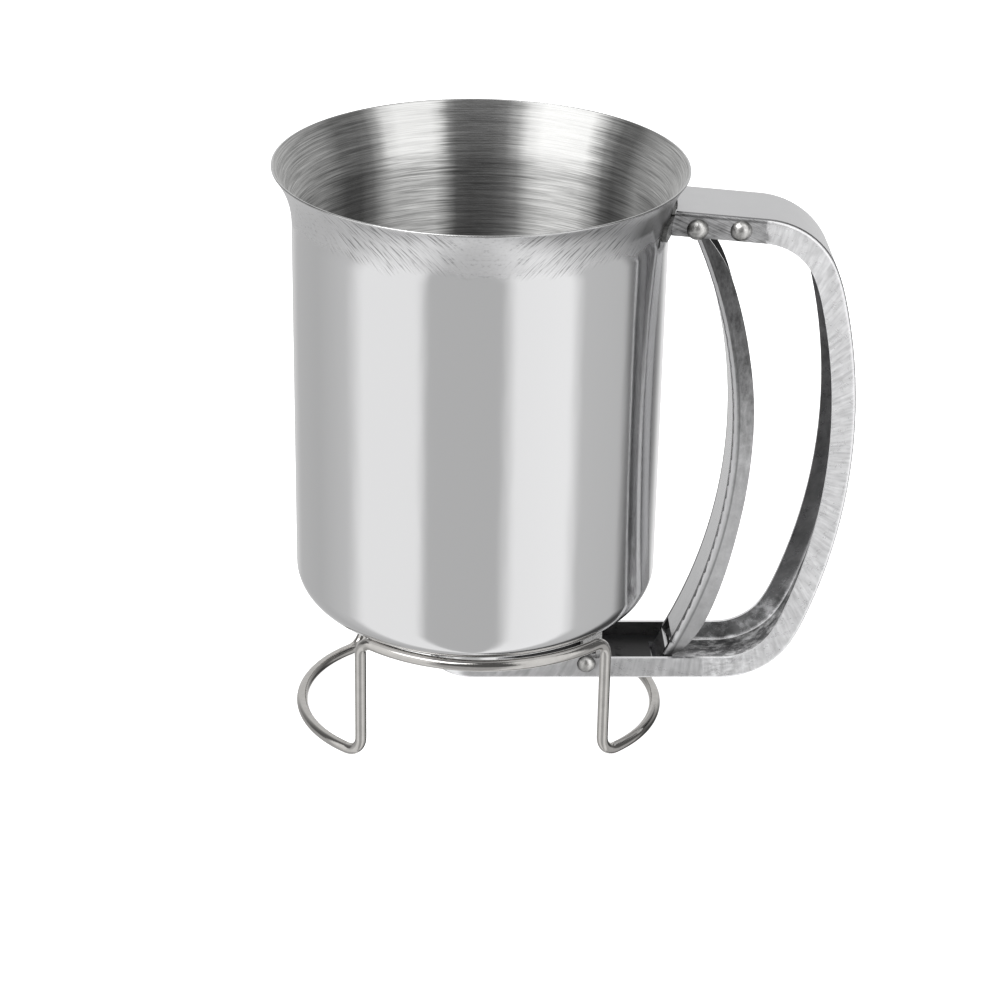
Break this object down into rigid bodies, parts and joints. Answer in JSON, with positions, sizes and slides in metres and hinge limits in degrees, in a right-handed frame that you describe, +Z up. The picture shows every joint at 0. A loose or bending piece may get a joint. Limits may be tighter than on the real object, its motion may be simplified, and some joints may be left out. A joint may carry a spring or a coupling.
{
  "type": "hand-held batter dispenser",
  "caption": "Stainless steel funnel dispenser: flared cup, curved channel handle, squeeze trigger that slides a black valve off the round outlet, and a loose wire stand.",
  "frame": {"origin": "on the cup axis at the level of the counter, where the feet of the wire stand rest", "axes": "+Z up along the cup axis towards the mouth, +X from the cup towards the handle, the XZ plane is the mirror plane of the handle"},
  "size_m": [0.1499, 0.105, 0.155],
  "materials": {
    "cup_steel": "mirror polished outside, brushed in rings inside",
    "collar_steel": "bright turned",
    "handle_steel": "smooth web, flanges linished across",
    "bracket_steel": "bright pressed sheet",
    "trigger_steel": "satin flanges, smooth web",
    "rivet_steel": "tumbled satin domes",
    "washer_steel": "plain",
    "valve_nylon": "semi-matt black",
    "spring_steel": "drawn wire",
    "wire_steel": "polished drawn wire, slightly warm"
  },
  "bodies": {
    "stand": {"wire_stand": "wire_steel"},
    "dispenser": {"cup_body": "cup_steel", "outlet_collar": "collar_steel", "handle_channel": "handle_steel", "upper_bracket": "bracket_steel", "lower_bracket": "bracket_steel", "front_tab": "bracket_steel", "pivot_rivet": "rivet_steel", "post_rivet": "rivet_steel", "lower_rivet": "rivet_steel", "pivot_washers": "washer_steel", "return_spring": "spring_steel"},
    "trigger": {"trigger_lever": "trigger_steel"},
    "valve": {"valve_slide": "valve_nylon"}
  },
  "joints": [
    {"name": "lift_off", "type": "slide", "parent": "stand", "child": "dispenser", "axis": [0, 0, 1], "range_m": [0, 0.06]},
    {"name": "trigger_pivot", "type": "hinge", "parent": "dispenser", "child": "trigger", "pos_m": [0.0539, 0, 0.1415], "axis": [0, -1, 0], "range_deg": [0, 6.85], "stiffness_Nm_per_rad": 0.08},
    {"name": "valve_travel", "type": "slide", "parent": "dispenser", "child": "valve", "axis": [1, 0, 0], "range_m": [0, 0.0152]}
  ],
  "couplings": [
    {"joint": "valve_travel", "follows": "trigger_pivot", "m_per_rad": 0.1262}
  ]
}
